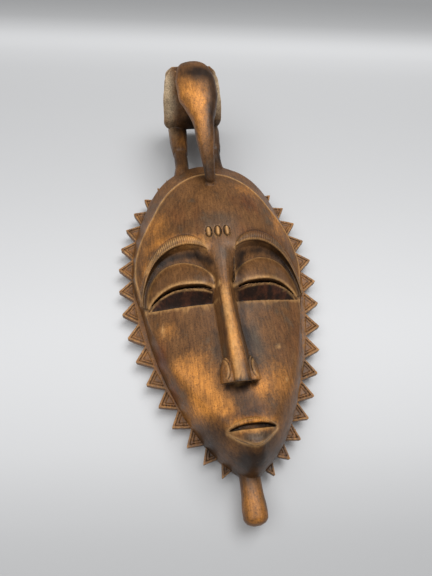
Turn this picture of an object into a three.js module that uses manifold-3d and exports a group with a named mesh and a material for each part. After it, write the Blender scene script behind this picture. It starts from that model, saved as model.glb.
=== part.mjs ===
// A carved wooden face mask with a toothed border, a beard peg and a long-beaked bird standing
// on the crown. It is one block of wood, hollow behind. Millimetres. It lies on its back:
// x across the face, y from the chin up to the bird, z out of the face. Inside the functions
// z = 0 is the front of the toothed border; the finished solid is moved so that the rear rim
// is at z = 0 and the middle of its outline is at x = 0, y = 0.
import * as THREE from 'three';
import * as BufferGeometryUtils from 'three/addons/utils/BufferGeometryUtils.js';
import Module from 'manifold-3d';

const wasm = await Module();
wasm.setup();

// Outline of the tooth tips, an egg with its narrow end at the chin
const TIP_HALF_WIDTH = 84;
const TIP_HALF_HEIGHT = 143.7;
const TIP_MIDDLE_Y = 11.9;
const EGG_TAPER = 0.1;
const EGG_SQUARE = 0.002;

// Foot of the carved face inside the border
const FOOT_HALF_WIDTH = 72;
const FOOT_HALF_HEIGHT = 138;
const FOOT_MIDDLE_Y = 10.3;
const JAW_PINCH = 5.3;

// Border and its teeth
const BORDER_THICKNESS = 5.5;
const RIM_BACK_Z = -13;
const TEETH_PER_SIDE = 18;
const CROWN_TOOTH_ARCS = [25.5, 39.5];
const CROWN_TOOTH_EXTRA = 3;
const FIRST_TOOTH_ARC = 33.8;
const LAST_TOOTH_ARC = 344.9;
const SIDE_SHIFT = 2.6;
const TOOTH_DEPTH = 12;
const TOOTH_RIM = 2;
const TOOTH_RECESS = 1.1;

// Front surface of the face
const FOREHEAD_Z = 45;
const FOREHEAD_TOP_Y = 55;
const FOREHEAD_DROP = 15;
const FOREHEAD_BEND = 0.0071;
const CHEEK_Z = 28;
const CHEEK_TOP_Y = 5;
const MUZZLE_RISE = 15;
const CHEEK_BEND = 0.0042;
const MUZZLE_BEND = 0.009;
const CHIN_LEAN = 3.6;

// Eyes
const SOCKET_DEPTH = 6.5;
const LID_BULGE = 12;
const LID_DOME = 1.5;
const LID_EDGE = 3;
const SLIT_WIDTH = 2.2;
const BROW_SWELL = 2.6;

// Nose
const NOSE_TOP_X = -1.2;
const NOSE_TIP_X = 0.5;
const NOSE_TIP_Y = -70.5;
const NOSE_TIP_Z = 49;
const NOSE_FOOT_Y = -67;
const NOSE_BASE_Z = 22;
const NOSTRIL_X = 8.6;

// Mouth
const MOUTH_Y = -100.2;
const MOUTH_HALF_WIDTH = 18;
const UPPER_LIP_RISE = 6.4;
const LOWER_LIP_DROP = 12;
const GAP_DEPTH = 3;
const LIP_HEIGHT = 4;

// Forehead marks
const MARK_Y = 54.4;
const MARK_X = -0.8;
const MARK_PITCH = 7.4;
const MARK_HALF_WIDTH = 2.3;
const MARK_HALF_HEIGHT = 4.9;

// Beard peg
const BEARD_X = 1.6;
const BEARD_END_Y = -157;
const BEARD_HALF_WIDTH = 8;
const BEARD_Z = 2;

// Bird
const BIRD_X = -5;
const BIRD_TOP_Y = 225;
const BODY_BOTTOM_Y = 193;
const WING_X = -6;
const WING_HALF_SPAN = 25.2;
const LEG_X = 15.5;
const LEG_HALF_WIDTH = 7.5;
const LEG_Z = 14;
const LEFT_FOOT_SPREAD = 3.5;
const RIGHT_FOOT_SPREAD = 3.6;

// Hollow behind the face
const WALL = 11;
const HOLLOW_TOP_Z = 19;

const smooth = THREE.MathUtils.smoothstep;
const mix = THREE.MathUtils.lerp;

// Meshes to solids and back
function solidOf(geometry) {
  geometry.deleteAttribute('normal');
  geometry.deleteAttribute('uv');
  const merged = BufferGeometryUtils.mergeVertices(geometry, 1e-4);
  const mesh = new wasm.Mesh({
    numProp: 3,
    vertProperties: new Float32Array(merged.attributes.position.array),
    triVerts: new Uint32Array(merged.index.array),
  });
  return new wasm.Manifold(mesh);
}

function geometryOf(solid) {
  const mesh = solid.getMesh();
  const geometry = new THREE.BufferGeometry();
  const positions = new Float32Array(mesh.vertProperties);
  geometry.setAttribute('position', new THREE.BufferAttribute(positions, 3));
  geometry.setIndex(new THREE.BufferAttribute(new Uint32Array(mesh.triVerts), 1));
  geometry.computeVertexNormals();
  return geometry;
}

function signedVolume(points, faces) {
  let volume = 0;
  for (let i = 0; i < faces.length; i += 3) {
    const [a, b, c] = [points[faces[i]], points[faces[i + 1]], points[faces[i + 2]]];
    volume += a.dot(new THREE.Vector3().crossVectors(b, c)) / 6;
  }
  return volume;
}

function closedGeometry(points, faces) {
  if (signedVolume(points, faces) < 0) {
    faces.reverse();
  }
  const geometry = new THREE.BufferGeometry();
  geometry.setFromPoints(points);
  geometry.setIndex(faces);
  return geometry;
}

// A closed body through rings of equal length, each end closed to the ring's middle
function loft(rings) {
  const count = rings[0].length;
  const points = rings.flat();
  const faces = [];
  for (let i = 0; i + 1 < rings.length; i += 1) {
    for (let j = 0; j < count; j += 1) {
      const a = i * count + j;
      const b = i * count + (j + 1) % count;
      faces.push(a, b, b + count, a, b + count, a + count);
    }
  }
  const ends = [[rings[0], 0, true], [rings.at(-1), (rings.length - 1) * count, false]];
  for (const [ring, first, flip] of ends) {
    const middle = new THREE.Vector3();
    ring.forEach((p) => middle.addScaledVector(p, 1 / count));
    const centre = points.push(middle) - 1;
    for (let j = 0; j < count; j += 1) {
      const a = first + j;
      const b = first + (j + 1) % count;
      faces.push(...(flip ? [b, a, centre] : [a, b, centre]));
    }
  }
  return solidOf(closedGeometry(points, faces));
}

// A closed slab between two grids of the same size
function slab(top, bottom) {
  const rows = top.length;
  const columns = top[0].length;
  const points = [...top.flat(), ...bottom.flat()];
  const under = rows * columns;
  const faces = [];
  const at = (i, j) => i * columns + j;
  for (let i = 0; i + 1 < rows; i += 1) {
    for (let j = 0; j + 1 < columns; j += 1) {
      const [a, b, c, d] = [at(i, j), at(i + 1, j), at(i + 1, j + 1), at(i, j + 1)];
      faces.push(a, b, c, a, c, d);
      faces.push(under + a, under + c, under + b, under + a, under + d, under + c);
    }
  }
  const rim = [];
  for (let j = 0; j < columns; j += 1) rim.push(at(0, j));
  for (let i = 1; i < rows; i += 1) rim.push(at(i, columns - 1));
  for (let j = columns - 2; j >= 0; j -= 1) rim.push(at(rows - 1, j));
  for (let i = rows - 2; i > 0; i -= 1) rim.push(at(i, 0));
  for (let k = 0; k < rim.length; k += 1) {
    const a = rim[k];
    const b = rim[(k + 1) % rim.length];
    faces.push(a, b, under + b, a, under + b, under + a);
  }
  return solidOf(closedGeometry(points, faces));
}

function oval(centre, across, along, halfWidth, halfHeight, count, power = 1) {
  const ring = [];
  for (let i = 0; i < count; i += 1) {
    const turn = (2 * Math.PI * i) / count;
    const c = Math.sign(Math.cos(turn)) * Math.abs(Math.cos(turn)) ** power;
    const s = Math.sign(Math.sin(turn)) * Math.abs(Math.sin(turn)) ** power;
    const p = centre.clone().addScaledVector(across, c * halfWidth);
    ring.push(p.addScaledVector(along, s * halfHeight));
  }
  return ring;
}

// Eggs, measured by the turn from the top of the head
function egg(turn, halfWidth, halfHeight, middleY) {
  const x = Math.sin(turn) + EGG_TAPER * Math.sin(2 * turn) + EGG_SQUARE * Math.sin(3 * turn);
  return new THREE.Vector2(halfWidth * x, middleY + halfHeight * Math.cos(turn));
}

const tipAt = (turn) => egg(turn, TIP_HALF_WIDTH, TIP_HALF_HEIGHT, TIP_MIDDLE_Y);

// The foot draws in along the jaw, so that the teeth there stand clear of the face
function footAt(turn) {
  const p = egg(turn, FOOT_HALF_WIDTH, FOOT_HALF_HEIGHT, FOOT_MIDDLE_Y);
  const pinch = JAW_PINCH * (1 - smooth(p.y, -5, 40)) * smooth(Math.abs(p.x), 0, 18);
  return new THREE.Vector2(p.x - Math.sign(p.x) * pinch, p.y);
}

const FACE_CENTRE = new THREE.Vector2(0, 20);
const leanAt = (y) => CHIN_LEAN * smooth(-y, 0, 120);

// Height of the forehead, of the cheeks and of the two joined
function foreheadZ(x, y) {
  const up = Math.max(y - FOREHEAD_TOP_Y, 0) / 71;
  return FOREHEAD_Z - FOREHEAD_DROP * up * up - FOREHEAD_BEND * x * x;
}

function cheekZ(x, y) {
  const down = Math.max(CHEEK_TOP_Y - y, 0) / 105;
  const bend = mix(CHEEK_BEND, MUZZLE_BEND, smooth(-y, 40, 100));
  return CHEEK_Z + MUZZLE_RISE * down ** 1.6 - bend * x * x;
}

function faceZ(x, y) {
  return mix(cheekZ(x, y), foreheadZ(x, y), smooth(y, 12, 45));
}

// Where the flat of the face ends and its side begins, as a share of the way to the foot
function edgeShare(turn) {
  const degrees = THREE.MathUtils.radToDeg(turn);
  return 0.83 + 0.13 * smooth(degrees, 45, 78) - 0.13 * smooth(degrees, 95, 130)
    + 0.03 * smooth(degrees, 155, 180);
}

// Rise of the side from the foot (0) to the edge (1): straight at the temples, a steep block
// under the bird, rounded along the jaw
function sideRise(turn, t) {
  const degrees = THREE.MathUtils.radToDeg(turn);
  const jaw = smooth(degrees, 85, 120);
  const crown = 1 - smooth(degrees, 26, 64);
  const round = Math.sqrt(Math.max(1 - (1 - t) ** 2, 0));
  const block = 0.62 * smooth(t, -0.02, 0.16) + 0.38 * t;
  return mix(mix(t, round, jaw), block, crown);
}

// Height of the finished block at any place inside its foot
function blockZ(x, y) {
  const p = new THREE.Vector2(Math.abs(x - leanAt(y)), y).sub(FACE_CENTRE);
  const bearing = Math.atan2(p.x, p.y);
  let [low, high] = [0, Math.PI];
  for (let i = 0; i < 40; i += 1) {
    const middle = (low + high) / 2;
    const foot = footAt(middle).sub(FACE_CENTRE);
    if (Math.atan2(foot.x, foot.y) < bearing) low = middle;
    else high = middle;
  }
  const foot = footAt(low);
  const share = p.length() / foot.distanceTo(FACE_CENTRE);
  const edge = edgeShare(low);
  if (share <= edge) return faceZ(x, y);
  const line = FACE_CENTRE.clone().lerp(foot, edge);
  return faceZ(line.x, line.y) * sideRise(low, Math.max(1 - share, 0) / (1 - edge));
}

function faceBlock() {
  const around = 68;
  const sideSteps = [0, 0.12, 0.3, 0.62, 1];
  const frontShares = [0.84, 0.62, 0.38, 0.14];
  const rings = [];
  const ringAt = (share, height) => {
    const ring = [];
    for (let i = 0; i < around; i += 1) {
      const turn = (2 * Math.PI * i) / around;
      const half = Math.min(turn, 2 * Math.PI - turn);
      const foot = footAt(turn);
      const edge = edgeShare(half);
      const at = (s) => FACE_CENTRE.clone().lerp(foot, s);
      const p = at(share(edge));
      ring.push(new THREE.Vector3(p.x + leanAt(p.y), p.y, height(p, half, at(edge))));
    }
    return ring;
  };
  rings.push(ringAt(() => 0.985, () => RIM_BACK_Z));
  rings.push(ringAt(() => 1, () => -1));
  for (const t of sideSteps) {
    rings.push(ringAt(
      (edge) => mix(1, edge, t),
      (p, half, line) => faceZ(line.x, line.y) * sideRise(half, t),
    ));
  }
  for (const s of frontShares) {
    rings.push(ringAt((edge) => edge * s, (p) => faceZ(p.x, p.y)));
  }
  return loft(rings);
}

// Arc lengths along the tooth tips, so that the teeth keep an even pitch
function turnAtArc() {
  const steps = 720;
  const turns = [0];
  const arcs = [0];
  let last = tipAt(0);
  for (let i = 1; i <= steps; i += 1) {
    const turn = (Math.PI * i) / steps;
    const p = tipAt(turn);
    turns.push(turn);
    arcs.push(arcs[i - 1] + p.distanceTo(last));
    last = p;
  }
  return (arc) => {
    const i = Math.min(Math.max(arcs.findIndex((a) => a >= arc), 1), steps);
    return mix(turns[i - 1], turns[i], (arc - arcs[i - 1]) / (arcs[i] - arcs[i - 1]));
  };
}

const turnOf = turnAtArc();

function inward(turn) {
  const ahead = tipAt(turn + 0.01);
  const behind = tipAt(turn - 0.01);
  const along = ahead.sub(behind).normalize();
  return new THREE.Vector2(-along.y, along.x).negate();
}

// Teeth are widest at the cheeks and closer together near the crown and the chin; the two next
// to the bird's legs are closest
function toothArc(i) {
  if (i >= 0 && i < CROWN_TOOTH_ARCS.length) return CROWN_TOOTH_ARCS[i];
  const even = (i - 1) / (TEETH_PER_SIDE - 2);
  const widened = even - 0.018 * Math.sin(2 * Math.PI * even) + 0.015 * Math.sin(Math.PI * even);
  return mix(FIRST_TOOTH_ARC, LAST_TOOTH_ARC, widened);
}

// The row on the right starts a little lower than the row on the left, as it was cut
function pointAt(arc, side, depth) {
  const turn = turnOf(arc + side * SIDE_SHIFT);
  const p = tipAt(turn).addScaledVector(inward(turn), depth);
  return new THREE.Vector2(side * p.x + leanAt(p.y), p.y);
}

function valleyAt(i, side) {
  return pointAt((toothArc(i) + toothArc(i + 1)) / 2, side, TOOTH_DEPTH);
}

function teethOfSide(side) {
  const teeth = [];
  for (let i = 0; i < TEETH_PER_SIDE; i += 1) {
    const extra = i === 1 ? CROWN_TOOTH_EXTRA : 0;
    teeth.push([pointAt(toothArc(i), side, -extra), valleyAt(i - 1, side), valleyAt(i, side)]);
  }
  return teeth;
}

function prism(outline, low, high) {
  const shape = new THREE.Shape(outline);
  const geometry = new THREE.ExtrudeGeometry(shape, { depth: high - low, bevelEnabled: false });
  geometry.translate(0, 0, low);
  return solidOf(geometry);
}

function border() {
  const right = teethOfSide(1);
  const left = teethOfSide(-1);
  const edgeOf = (teeth) => [teeth[0][1], ...teeth.flatMap(([tip, , after]) => [tip, after])];
  let plate = prism([...edgeOf(right), ...edgeOf(left).reverse()], -BORDER_THICKNESS, 0);
  const fit = 1 - (2.6 * TOOTH_RIM) / TOOTH_DEPTH;
  for (const tooth of [...left, ...right]) {
    const [tip, before, after] = tooth;
    const middle = before.clone().lerp(after, 0.5).lerp(tip, 0.36);
    const shrunk = (k) => tooth.map((p) => middle.clone().lerp(p, k));
    const island = prism(shrunk(fit * 0.5), -2, 2);
    plate = plate.subtract(prism(shrunk(fit), -TOOTH_RECESS, 1).subtract(island));
  }
  return plate;
}

// Curves that bound the eye, for the side x > 0
const curve = (...p) => new THREE.CubicBezierCurve(...p.map(([x, y]) => new THREE.Vector2(x, y)));
const BROW_TOP = curve([13, 43.5], [22, 62], [62, 69], [67.5, 9]);
const SOCKET_EDGE = curve([11, 38.5], [22, 50.5], [61.5, 59.5], [65.2, 7]);
const LID_ARCH = curve([8, 14], [12, 36], [60, 55], [61.5, 6]);
const SLIT = curve([5, 8.2], [24, 13], [52, 20], [60.5, 4.6]);
const CHEEK_LINE = curve([5, -1.4], [24, -1], [44, 0.5], [61, 3]);

// Height of the lid over the cheek along the eye
function bulgeAt(u) {
  return LID_BULGE * mix(0.4, 1, smooth(u, 0, 0.22)) * (1 - 0.85 * smooth(u, 0.45, 1));
}

function eyePatch(side) {
  const columns = 14;
  const rows = [];
  const point = (p, z) => new THREE.Vector3(side * p.x, p.y, z);
  for (let i = 0; i <= columns; i += 1) {
    const u = i / columns;
    const line = CHEEK_LINE.getPoint(u);
    const slit = SLIT.getPoint(u);
    const arch = LID_ARCH.getPoint(u);
    const edge = SOCKET_EDGE.getPoint(u);
    const lidEdgeZ = cheekZ(slit.x, 4) + bulgeAt(u);
    const scoopZ = cheekZ(line.x, line.y) - 2;
    const browZ = foreheadZ(edge.x, edge.y);
    const archZ = mix(browZ, cheekZ(arch.x, 4), 0.45);
    const open = Math.sin(Math.PI * Math.min(u * 0.9 + 0.1, 1));
    const lidTop = (k) => mix(lidEdgeZ, archZ, k) + LID_DOME * open * Math.sin(Math.PI * k);
    const socketFloor = archZ - LID_EDGE * open;
    const wallTop = browZ - 0.6;
    rows.push([
      point(line, scoopZ),
      point(line.clone().lerp(slit, 0.35), mix(scoopZ, lidEdgeZ, 0.3)),
      point(line.clone().lerp(slit, 0.7), mix(scoopZ, lidEdgeZ, 0.72)),
      point(line.clone().lerp(slit, 0.94), lidEdgeZ - 1),
      point(slit, lidEdgeZ),
      point(slit.clone().lerp(arch, 0.3), lidTop(0.3)),
      point(slit.clone().lerp(arch, 0.6), lidTop(0.6)),
      point(slit.clone().lerp(arch, 0.85), lidTop(0.85)),
      point(arch, archZ),
      point(arch.clone().lerp(edge, 0.08), socketFloor),
      point(arch.clone().lerp(edge, 0.5), mix(socketFloor, browZ - SOCKET_DEPTH, 0.4)),
      point(arch.clone().lerp(edge, 0.88), browZ - SOCKET_DEPTH * (0.35 + 0.65 * open)),
      point(edge, wallTop),
    ]);
  }
  return rows;
}

const atHeight = (rows, z) => rows.map((row) => row.map((p) => new THREE.Vector3(p.x, p.y, z)));

function carveEyes(block) {
  let face = block;
  for (const side of [-1, 1]) {
    const surface = eyePatch(side);
    face = face.add(slab(surface, atHeight(surface, 2)));
    face = face.subtract(slab(atHeight(surface, 90), surface));
  }
  return face;
}

function slits() {
  const parts = [];
  for (const side of [-1, 1]) {
    const top = [];
    for (let i = 0; i <= 10; i += 1) {
      const p = SLIT.getPoint(mix(0.09, 0.975, i / 10));
      const width = SLIT_WIDTH * Math.sqrt(Math.sin(Math.PI * mix(0.06, 0.94, i / 10)));
      top.push([
        new THREE.Vector3(side * p.x, p.y - 0.4 - width, 60),
        new THREE.Vector3(side * p.x, p.y - 0.4, 60),
      ]);
    }
    parts.push(slab(top, atHeight(top, -20)));
  }
  return wasm.Manifold.union(parts);
}

// Brows: bands that stand out over the sockets and thin towards the temples
function brows() {
  const parts = [];
  for (const side of [-1, 1]) {
    const top = [];
    for (let i = 0; i <= 16; i += 1) {
      const u = i / 16;
      const outer = BROW_TOP.getPoint(u);
      const inner = SOCKET_EDGE.getPoint(u);
      const swell = BROW_SWELL * Math.sin(Math.PI * mix(0.1, 0.97, u)) ** 0.6;
      const row = [];
      for (const [k, lift] of [[-0.06, 0.2], [0.12, 0.75], [0.45, 1], [0.8, 0.9], [1.02, 0.2]]) {
        const p = outer.clone().lerp(inner, k);
        const z = foreheadZ(p.x, p.y) + swell * lift - 0.25;
        row.push(new THREE.Vector3(side * p.x, p.y, z));
      }
      top.push(row);
    }
    const bottom = top.map((row) => row.map((p) => new THREE.Vector3(p.x, p.y, p.z - 9)));
    parts.push(slab(top, bottom));
  }
  return wasm.Manifold.union(parts);
}

// Nose: a long bar with flat flanks, cut off flat below, with a crescent nostril on each side
function nose() {
  const stations = [
    [49, 17, 8, 45, 42.5], [43, 19, 7.5, 45, 37.5], [34, 16.5, 6.4, 44.4, 33.5],
    [24, 13.4, 5, 43.6, 30.5], [12, 11, 4.3, 42.8, 27], [-4, 9.4, 4, 43, 26.4],
    [-24, 9.2, 4.3, 44.6, 28], [-46, 10, 4.8, 47, 30.8], [NOSE_TIP_Y, 11, 5.4, NOSE_TIP_Z, 34.5],
  ];
  const rings = stations.map(([y, foot, ridge, top, footZ]) => {
    const base = y === NOSE_TIP_Y ? NOSE_FOOT_Y - y : 0;
    const middle = mix(NOSE_TOP_X, NOSE_TIP_X, smooth(-y, 0, 70));
    const at = (x, back, z) => new THREE.Vector3(middle + x, y + back, z);
    return [
      at(-foot, base, footZ), at(-ridge, 0, top - 1.6), at(-ridge * 0.55, 0, top - 0.4),
      at(0, 0, top),
      at(ridge * 0.55, 0, top - 0.4), at(ridge, 0, top - 1.6), at(foot, base, footZ),
      at(foot, base, NOSE_BASE_Z), at(-foot, base, NOSE_BASE_Z),
    ];
  });
  const parts = [loft(rings)];
  const edgeAt = (y, z) => [new THREE.Vector3(-30, y, z), new THREE.Vector3(30, y, z)];
  const below = slab(
    [edgeAt(NOSE_TIP_Y, 60), edgeAt(-95, 60)],
    [edgeAt(NOSE_FOOT_Y + 1.5, NOSE_BASE_Z), edgeAt(-95, NOSE_BASE_Z)],
  );
  for (const side of [-1, 1]) {
    const ball = new THREE.SphereGeometry(1, 12, 9);
    ball.scale(5.2, 16, 9);
    ball.translate(NOSE_TIP_X + side * NOSTRIL_X, -65, 37);
    parts.push(solidOf(ball).subtract(below));
  }
  return wasm.Manifold.union(parts);
}

// Mouth: a band over the lips' gap and a shield-shaped lower lip
function mouthCurve(u, rise) {
  const x = mix(-MOUTH_HALF_WIDTH, MOUTH_HALF_WIDTH, u);
  const bow = 1 - Math.abs(2 * u - 1) ** (rise > 0 ? 2.2 : 1.5);
  return new THREE.Vector2(x + leanAt(MOUTH_Y), MOUTH_Y + rise * bow);
}

function mouth() {
  const upper = [];
  const lower = [];
  const gap = [];
  for (let i = 0; i <= 12; i += 1) {
    const u = mix(0.03, 0.97, i / 12);
    const bow = Math.sin(Math.PI * u);
    const at = (rise, lift) => {
      const p = mouthCurve(u, rise);
      return new THREE.Vector3(p.x, p.y, blockZ(p.x, p.y) + lift);
    };
    upper.push([
      at(UPPER_LIP_RISE + 0.7, -0.6), at(UPPER_LIP_RISE - 0.2, LIP_HEIGHT * 0.7 * bow),
      at(UPPER_LIP_RISE - 2, LIP_HEIGHT * bow), at(UPPER_LIP_RISE - 3.4, LIP_HEIGHT * 0.6 * bow),
    ]);
    gap.push([at(UPPER_LIP_RISE - 3.2, 10), at(0.4, 10)]);
    lower.push([
      at(0.2, LIP_HEIGHT * 0.5 * bow), at(-1, LIP_HEIGHT * 0.75 * bow),
      at(-LOWER_LIP_DROP * 0.55, LIP_HEIGHT * 0.7 * bow),
      at(-LOWER_LIP_DROP * 0.88, LIP_HEIGHT * 0.9 * bow), at(-LOWER_LIP_DROP, -0.6),
    ]);
  }
  const lowered = (rows, depth) => rows.map(
    (row) => row.map((p) => new THREE.Vector3(p.x, p.y, p.z - depth)),
  );
  const lips = slab(upper, lowered(upper, 9)).add(slab(lower, lowered(lower, 9)));
  return { lips, gap: slab(gap, lowered(gap, 10 + GAP_DEPTH)) };
}

// Three small ovals above the nose, each standing in a ring
function marks(face) {
  let carved = face;
  for (const step of [-1, 0, 1]) {
    const x = MARK_X + step * MARK_PITCH;
    const z = foreheadZ(x, MARK_Y);
    const across = new THREE.Vector3(1, 0, 0);
    const along = new THREE.Vector3(0, 1, 0);
    const ovalAt = (grow, height) => oval(
      new THREE.Vector3(x, MARK_Y, height), across, along,
      MARK_HALF_WIDTH + grow, MARK_HALF_HEIGHT + grow, 10,
    );
    const ring = loft([ovalAt(0.6, z - 1.4), ovalAt(1, z + 3)]);
    const seed = loft([
      ovalAt(-0.2, z - 3), ovalAt(-0.3, z - 0.2), ovalAt(-0.9, z + 1), ovalAt(-1.8, z + 1.5),
    ]);
    carved = carved.subtract(ring).add(seed);
  }
  return carved;
}

function beard() {
  const across = new THREE.Vector3(1, 0, 0);
  const along = new THREE.Vector3(0, 0, 1);
  const stations = [
    [-112, 0.98], [-126, 0.94], [-136, 0.97], [-147, 1.08], [-152, 1.06], [-155, 0.78],
    [BEARD_END_Y, 0.3],
  ];
  const rings = stations.map(([y, k]) => oval(
    new THREE.Vector3(BEARD_X, y, BEARD_Z), across, along, BEARD_HALF_WIDTH * k, 8.4 * k, 16, 0.85,
  ));
  return loft(rings);
}

// Bird: one body with flat wing panels, two legs, and a head that runs out into the beak
function birdBody() {
  const across = new THREE.Vector3(1, 0, 0);
  const along = new THREE.Vector3(0, 1, 0);
  const stations = [
    [-3, 9, 219, 223.5], [3, 16, 213, 224.5], [12, 22, 203.5, BIRD_TOP_Y],
    [22, 25, BODY_BOTTOM_Y, BIRD_TOP_Y], [30, 25, BODY_BOTTOM_Y + 0.5, BIRD_TOP_Y],
    [38, 24.5, 197.5, BIRD_TOP_Y], [48, 23, 206, BIRD_TOP_Y], [58, 20.5, 213.5, 224.8],
    [65, 16, 218, 223.5],
  ];
  const rings = stations.map(([z, halfWidth, low, high]) => oval(
    new THREE.Vector3(BIRD_X, (low + high) / 2, z), across, along, halfWidth, (high - low) / 2, 24, 0.62,
  ));
  return loft(rings);
}

// Thick panels: their slanting front faces show on both sides of the head
function wings() {
  const parts = [];
  const outline = [
    [223, 67.5], [217, 60], [206, 46], [198, 35], [195, 29], [196, 20], [204, 11], [213, 5],
    [219, 3], [223, 9], [BIRD_TOP_Y, 24], [BIRD_TOP_Y, 45], [BIRD_TOP_Y, 60], [224.7, 65.5],
  ];
  for (const side of [-1, 1]) {
    const sheet = (grow, out) => outline.map(([y, z]) => {
      const taper = 4 * smooth(y, 200, 228) + 5 * smooth(z, 60, 68) + 12 * (1 - smooth(z, -2, 26));
      return new THREE.Vector3(
        WING_X + side * (WING_HALF_SPAN - taper + out),
        mix(212, y, grow),
        mix(35, z, grow),
      );
    });
    parts.push(loft([
      sheet(0.94, -10), sheet(1, -7), sheet(1, 0.6), sheet(0.98, 1.8), sheet(0.92, 2.6),
    ]));
  }
  return wasm.Manifold.union(parts);
}

function head() {
  const across = new THREE.Vector3(1, 0, 0);
  const stations = [
    [222, -5.2, 62, 10, 5.5], [217, -5.1, 66.5, 14.2, 8.6], [207, -4.8, 68.5, 16.4, 10.2],
    [196, -4.1, 68, 17.7, 10.8], [183, -3.5, 66.5, 17.4, 10.5], [174, -2.3, 65.2, 14.6, 9.8],
    [167, -1.6, 64, 12.4, 9.2], [157, -1.4, 62, 9.3, 8.4], [143, -1.2, 57, 8, 7.4],
    [132.5, -0.8, 51.5, 6.3, 6.2], [123, 0.1, 45, 5.1, 5],
    [113.5, 0.5, 38.5, 4, 4], [110.5, 0.8, 36, 2.4, 2.4],
  ];
  const rings = stations.map(([y, x, z, halfWidth, halfHeight], i) => {
    const a = stations[Math.max(i - 1, 0)];
    const b = stations[Math.min(i + 1, stations.length - 1)];
    const path = new THREE.Vector3(0, b[0] - a[0], b[2] - a[2]).normalize();
    const up = new THREE.Vector3(0, path.z, -path.y);
    return oval(new THREE.Vector3(x, y, z), across, up, halfWidth, halfHeight, 16, 0.85);
  });
  return loft(rings);
}

function legs() {
  const parts = [];
  const across = new THREE.Vector3(1, 0, 0);
  const along = new THREE.Vector3(0, 0, 1);
  const stations = [
    [130, -2.5, 1.1, 1], [140, -2, 1.02, 1.1], [149, -1.4, 0.84, 0.95], [166, 0.3, 0.82, 0.92],
    [167, 0.3, 0.94, 1.02], [184, 0.4, 1.14, 1.1], [208, 0.4, 1.22, 1],
  ];
  for (const [side, spread] of [[-1, LEFT_FOOT_SPREAD], [1, RIGHT_FOOT_SPREAD]]) {
    const rings = stations.map(([y, out, wide, deep]) => {
      const outward = LEG_X + out + spread * (1 - smooth(y, 130, 168));
      return oval(
        new THREE.Vector3(BIRD_X + side * outward, y, LEG_Z), across, along,
        LEG_HALF_WIDTH * wide, LEG_HALF_WIDTH * deep, 14, 0.8,
      );
    });
    parts.push(loft(rings));
  }
  return wasm.Manifold.union(parts);
}

function pad() {
  const geometry = new THREE.SphereGeometry(1, 10, 6);
  geometry.scale(4.8, 3.2, 2.6);
  geometry.translate(0.8, 110.6, foreheadZ(0, 110.6));
  return solidOf(geometry);
}

// Hollow: the same egg, smaller, rising to a rounded vault behind the face
function hollow() {
  const around = 32;
  const across = FOOT_HALF_WIDTH - WALL;
  const tall = FOOT_HALF_HEIGHT - WALL - 4;
  const profile = [
    [0.97, RIM_BACK_Z - 2], [0.97, -4], [0.9, 5], [0.78, 12], [0.62, 16.5], [0.4, HOLLOW_TOP_Z],
  ];
  const rings = [];
  for (const [share, z] of profile) {
    const ring = [];
    for (let i = 0; i < around; i += 1) {
      const p = egg((2 * Math.PI * i) / around, across * share, tall * share, FOOT_MIDDLE_Y);
      ring.push(new THREE.Vector3(p.x, p.y, z));
    }
    rings.push(ring);
  }
  return loft(rings);
}

function buildMask() {
  const { lips, gap } = mouth();
  let face = marks(carveEyes(faceBlock()).subtract(slits()).add(brows()).add(nose()));
  face = face.subtract(gap).add(lips);
  const bird = wasm.Manifold.union([birdBody(), wings(), head(), legs(), pad()]);
  const whole = wasm.Manifold.union([border(), face, beard(), bird]);
  return geometryOf(whole.subtract(hollow()));
}

const geometry = buildMask();
geometry.computeBoundingBox();
const box = geometry.boundingBox;
geometry.translate(-(box.min.x + box.max.x) / 2, -(box.min.y + box.max.y) / 2, -box.min.z);

const wood = new THREE.MeshStandardMaterial({ color: 0x6b4527, roughness: 0.55, metalness: 0 });
const mask = new THREE.Mesh(geometry, wood);
mask.name = 'mask';

const object = new THREE.Group();
object.name = 'yaure_mask';
object.add(mask);

export default object;
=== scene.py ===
# A carved wooden face mask that lies on its back: toothed border, slit eyes, long nose, beard peg
# and a long-beaked bird on the crown. Everything is shaped in millimetres in the carver's frame:
# x across the face, y from the chin up, z out of the face, z = 0 at the front of the border.
# The last step moves the finished mesh to its place in the frame, in metres.
import math
import bmesh
import bpy
import numpy as np
from mathutils import Matrix, Vector
from mathutils.bvhtree import BVHTree
from mathutils.kdtree import KDTree


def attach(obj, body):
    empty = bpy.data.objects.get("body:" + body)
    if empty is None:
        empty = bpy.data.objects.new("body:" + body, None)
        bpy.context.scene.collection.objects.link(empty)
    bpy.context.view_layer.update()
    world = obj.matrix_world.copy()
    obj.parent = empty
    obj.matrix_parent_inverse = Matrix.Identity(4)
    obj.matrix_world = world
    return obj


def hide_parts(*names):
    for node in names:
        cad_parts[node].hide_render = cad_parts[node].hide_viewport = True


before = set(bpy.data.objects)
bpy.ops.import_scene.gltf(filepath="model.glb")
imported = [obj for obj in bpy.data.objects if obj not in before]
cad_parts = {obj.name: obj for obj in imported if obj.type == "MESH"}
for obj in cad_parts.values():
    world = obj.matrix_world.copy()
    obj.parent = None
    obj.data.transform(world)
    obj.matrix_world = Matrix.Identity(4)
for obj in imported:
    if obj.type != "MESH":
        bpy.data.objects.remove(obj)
bpy.context.view_layer.update()

metres = 0.001
sides = ((-1, "Left"), (1, "Right"))
partShift = Vector((-0.014, -34.343, 13.0))  # from the carver's frame to the part's, mm


# Small tools

def smooth(value, low, high):
    t = np.clip((np.asarray(value, float) - low) / (high - low), 0, 1)
    return t * t * (3 - 2 * t)


def mix(a, b, t):
    return a + (b - a) * t


def column(*parts):
    return np.stack(np.broadcast_arrays(*parts), axis=-1).astype(float)


def bezier(points, t):
    a, b, c, d = [np.array(p, float) for p in points]
    t = np.asarray(t, float)[..., None]
    return (1 - t) ** 3 * a + 3 * (1 - t) ** 2 * t * b + 3 * (1 - t) * t ** 2 * c + t ** 3 * d


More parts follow.
